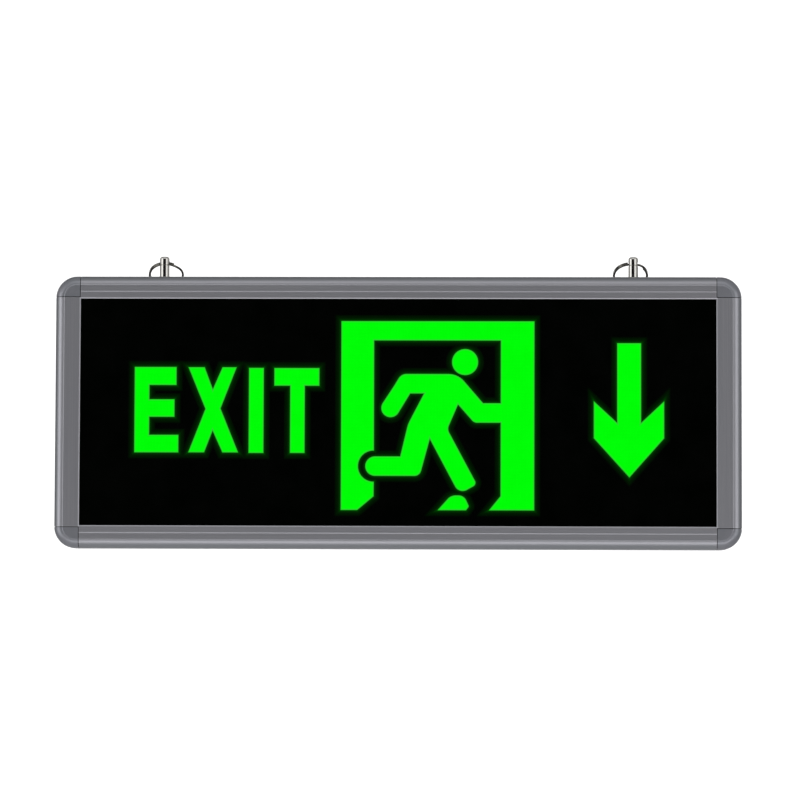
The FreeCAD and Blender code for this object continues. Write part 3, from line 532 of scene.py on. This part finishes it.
# Cyclorama: the floor runs back, turns up through a quarter circle and goes on as the wall.
def addBackdrop():
    sweep, depth = studio["sweep"], studio["depth"]
    turn = np.radians(np.linspace(0, 90, studio["sweepRows"]))
    back = np.r_[studio["front"], 0.0, depth - sweep + sweep * np.sin(turn), depth]
    rise = np.r_[0.0, 0.0, sweep * (1 - np.cos(turn)), studio["height"]] - studio["floorDrop"]
    across = np.linspace(-studio["width"] / 2, studio["width"] / 2, studio["columns"])
    x, y = np.meshgrid(across, back)
    z = np.repeat(rise[:, None], len(across), axis=1)
    rows, columns = x.shape
    first = (np.arange(rows - 1)[:, None] * columns + np.arange(columns - 1)).ravel()
    faces = np.c_[first, first + 1, first + columns + 1, first + columns]
    mesh = bpy.data.meshes.new("backdrop")
    mesh.from_pydata(np.c_[x.ravel(), y.ravel(), z.ravel()].tolist(), [], faces.tolist())
    mesh.polygons.foreach_set("use_smooth", np.ones(len(faces), bool))
    backdrop = bpy.data.objects.new("backdrop", mesh)
    bpy.context.scene.collection.objects.link(backdrop)

    # Matt white paper: it takes the shadow as a plain diffuse surface, and rays from the camera and through
    # glass see it a little brighter, so that it reads as white; metal sees part of that glow.
    material = bpy.data.materials.new("white_paper")
    material.use_nodes = True
    tree = material.node_tree
    tree.nodes.clear()
    path = addNode(tree, "LightPath")
    mirrored = addNode(tree, "Math", {"operation": "MULTIPLY"},
                       {0: (path, "Is Glossy Ray"), 1: studio["floorInMetal"]})
    direct = addNode(tree, "Math", {"operation": "MAXIMUM"},
                     {0: (path, "Is Camera Ray"), 1: (path, "Is Transmission Ray")})
    seen = addNode(tree, "Math", {"operation": "MAXIMUM"}, {0: (direct, "Value"), 1: (mirrored, "Value")})
    glow = addNode(tree, "Math", {"operation": "MULTIPLY"}, {0: (seen, "Value"), 1: studio["floorGlow"]})
    paper = addNode(tree, "BsdfDiffuse", inputs={"Color": linear(studio["floorWhite"])})
    lit = addNode(tree, "Emission", inputs={"Color": linear(studio["lampWhite"]),
                                            "Strength": (glow, "Value")})
    both = addNode(tree, "AddShader", inputs={0: (paper, "BSDF"), 1: (lit, "Emission")})
    addNode(tree, "OutputMaterial", inputs={"Surface": (both, "Shader")})
    mesh.materials.append(material)


# World: white where it is seen directly and through glass; an even fill as light; and in metal a studio room
# with soft dark flags. A flag's share is the product of three smooth steps: past "from", before "to", and
# within "reach" of "middle". What is left of the room's level is the product of (1 - share) over the flags.
def addWorld():
    world = bpy.data.worlds.new("studio")
    bpy.context.scene.world = world
    world.use_nodes = True
    tree = world.node_tree
    tree.nodes.clear()
    path = addNode(tree, "LightPath")
    place = addNode(tree, "TexCoord")
    toward = addNode(tree, "SeparateXYZ", inputs={"Vector": (place, "Generated")})
    smooth = {"interpolation_type": "SMOOTHSTEP"}
    level = addNode(tree, "Value")
    level.outputs["Value"].default_value = studio["around"]
    for flag in studio["flags"].values():
        soft = flag["soft"]
        offset = addNode(tree, "Math", {"operation": "SUBTRACT"}, {0: (toward, "Z"), 1: flag["middle"]})
        upDown = addNode(tree, "Math", {"operation": "ABSOLUTE"}, {0: (offset, "Value")})
        past = addNode(tree, "MapRange", smooth, {
            "Value": (toward, "Y"), "From Min": flag["from"] - soft, "From Max": flag["from"] + soft})
        before = addNode(tree, "MapRange", smooth, {
            "Value": (toward, "Y"), "From Min": flag["to"] + soft, "From Max": flag["to"] - soft})
        within = addNode(tree, "MapRange", smooth, {
            "Value": (upDown, "Value"), "From Min": flag["reach"] + soft, "From Max": flag["reach"] - soft})
        share = addNode(tree, "Math", {"operation": "MULTIPLY"}, {0: (past, "Result"), 1: (before, "Result")})
        share = addNode(tree, "Math", {"operation": "MULTIPLY"}, {0: (share, "Value"), 1: (within, "Result")})
        left = addNode(tree, "Math", {"operation": "SUBTRACT"}, {0: 1.0, 1: (share, "Value")})
        level = addNode(tree, "Math", {"operation": "MULTIPLY"}, {0: (level, "Value"), 1: (left, "Value")})
    asLight = addNode(tree, "Mix", {"data_type": "FLOAT"},
                      {0: (path, "Is Glossy Ray"), 2: studio["fill"], 3: (level, "Value")})
    direct = addNode(tree, "Math", {"operation": "MAXIMUM"},
                     {0: (path, "Is Camera Ray"), 1: (path, "Is Transmission Ray")})
    strength = addNode(tree, "Mix", {"data_type": "FLOAT"}, {0: (direct, "Value"), 2: (asLight, 0), 3: 1.0})
    background = addNode(tree, "Background", inputs={"Color": linear(studio["lampWhite"]),
                                                     "Strength": (strength, 0)})
    addNode(tree, "OutputWorld", inputs={"Surface": (background, "Background")})


# Softboxes, all at one distance in metres from the sign's middle and facing it: degrees to the right of
# straight ahead and degrees up, then width and height in metres, and radiance.
softboxDistance = 1.7
softboxes = {
    "softbox_above": {"right": 0, "up": 38, "wide": 1.7, "high": 1.0, "radiance": 0.57},
    "softbox_below": {"right": 0, "up": -28, "wide": 1.7, "high": 0.80, "radiance": 1.2},
    "softbox_left": {"right": -57, "up": 0, "wide": 1.15, "high": 1.3, "radiance": 1.3},
    "softbox_right": {"right": 47, "up": 0, "wide": 1.15, "high": 1.3, "radiance": 1.05},
    "softbox_behind": {"right": 180, "up": 8, "wide": 2.4, "high": 1.8, "radiance": 1.3},
}


# A lamp's power is radiance * pi * area, which gives the lit square its radiance in every direction. It
# stands at distance * (sin right * cos up, -cos right * cos up, sin up) from the sign's middle.
def addSoftbox(name, right, up, wide, high, radiance):
    lamp = bpy.data.lights.new(name, "AREA")
    lamp.shape = "RECTANGLE"
    lamp.size, lamp.size_y = wide, high
    lamp.energy = radiance * math.pi * wide * high
    rig = bpy.data.objects.new(name, lamp)
    bpy.context.scene.collection.objects.link(rig)
    turn, rise = math.radians(right), math.radians(up)
    toLamp = Vector((math.sin(turn) * math.cos(rise), -math.cos(turn) * math.cos(rise), math.sin(rise)))
    rig.location = signMiddle + toLamp * softboxDistance
    rig.rotation_mode = "QUATERNION"
    rig.rotation_quaternion = toLamp.to_track_quat("Z", "Y")
    rig.visible_camera = False


# The camera stands a little low and to the right of the sign's middle and looks up at it: its place, sensor
# and lens in mm, and its turns to the left, up and about its own line of sight in degrees.
def addCamera():
    view = {"x": 58.0, "y": -2010.0, "z": -49.5, "left": 1.647, "up": 3.610, "roll": 0.214,
            "lens": 178.06, "sensor": 36.0, "nearest": 50.0, "farthest": 50000.0}
    data = bpy.data.cameras.new("camera")
    data.sensor_width = view["sensor"]
    data.lens = view["lens"]
    data.clip_start, data.clip_end = view["nearest"] * mm, view["farthest"] * mm
    camera = bpy.data.objects.new("camera", data)
    bpy.context.scene.collection.objects.link(camera)
    camera.location = Vector((view["x"], view["y"], view["z"])) * mm
    turn = Euler((math.radians(90 + view["up"]), 0, math.radians(view["left"])))
    camera.rotation_mode = "QUATERNION"
    turn = turn.to_quaternion() @ Euler((0, 0, math.radians(view["roll"]))).to_quaternion()
    camera.rotation_quaternion = turn
    bpy.context.scene.camera = camera


addBackdrop()
addWorld()
for name, box in softboxes.items():
    addSoftbox(name, **box)
addCamera()
bpy.context.scene.view_settings.view_transform = "Standard"
print("studio and camera are set")
